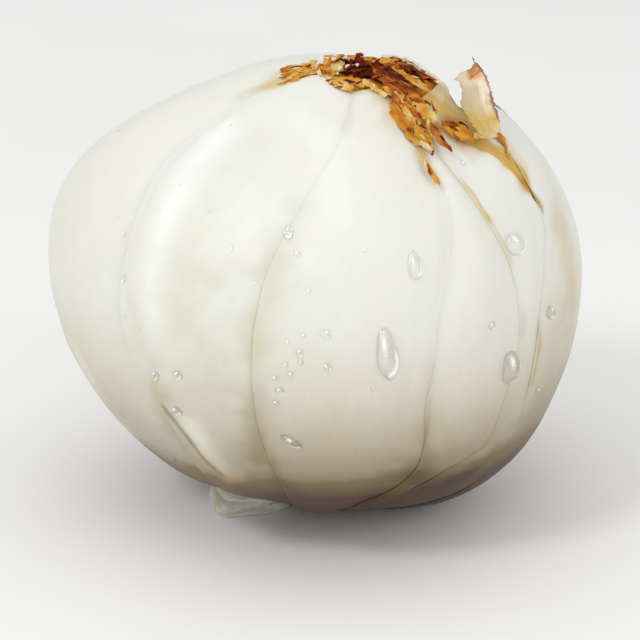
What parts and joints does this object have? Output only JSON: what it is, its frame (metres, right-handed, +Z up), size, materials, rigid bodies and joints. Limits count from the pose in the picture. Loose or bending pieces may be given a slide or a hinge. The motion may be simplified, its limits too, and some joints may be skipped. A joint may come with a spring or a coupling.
{
  "type": "lily bulb",
  "caption": "Round lily bulb of broad overlapping fleshy scales on a trimmed root plate, with a withered open mouth and a torn dry flap at the top.",
  "frame": {"origin": "middle of the footprint box, on the surface that the bulb rests on", "axes": "+Z up, -Y the broad front with the widest scales, +X the side that the mouth leans to"},
  "size_m": [0.087, 0.0832, 0.0775],
  "materials": {
    "scale_flesh": "smooth waxy skin of a fleshy scale, faintly veined, satin",
    "inner_flesh": "paler moist flesh, satin",
    "root_plate": "cut fibrous root plate, matt",
    "dry_tissue": "withered brown papery tissue, matt",
    "dry_flap": "half dried torn scale, translucent, matt with brown edges"
  },
  "bodies": {
    "root": {"outer_scale_1": "scale_flesh", "outer_scale_2": "scale_flesh", "outer_scale_3": "scale_flesh", "outer_scale_4": "scale_flesh", "outer_scale_5": "scale_flesh", "outer_scale_6": "scale_flesh", "outer_scale_7": "scale_flesh", "outer_scale_8": "scale_flesh", "outer_scale_9": "scale_flesh", "outer_scale_10": "scale_flesh", "middle_scale_1": "inner_flesh", "middle_scale_2": "inner_flesh", "middle_scale_3": "inner_flesh", "middle_scale_4": "inner_flesh", "middle_scale_5": "inner_flesh", "middle_scale_6": "inner_flesh", "inner_scale_1": "inner_flesh", "inner_scale_2": "inner_flesh", "inner_scale_3": "inner_flesh", "inner_scale_4": "inner_flesh", "inner_scale_5": "inner_flesh", "heart_scale_1": "inner_flesh", "heart_scale_2": "inner_flesh", "heart_scale_3": "inner_flesh", "basal_plate": "root_plate", "dry_tip_1": "dry_tissue", "dry_tip_2": "dry_tissue", "dry_tip_3": "dry_tissue", "dry_tip_4": "dry_tissue", "dry_tip_5": "dry_tissue", "stalk_remnant": "dry_tissue", "torn_flap": "dry_flap"}
  },
  "joints": []
}
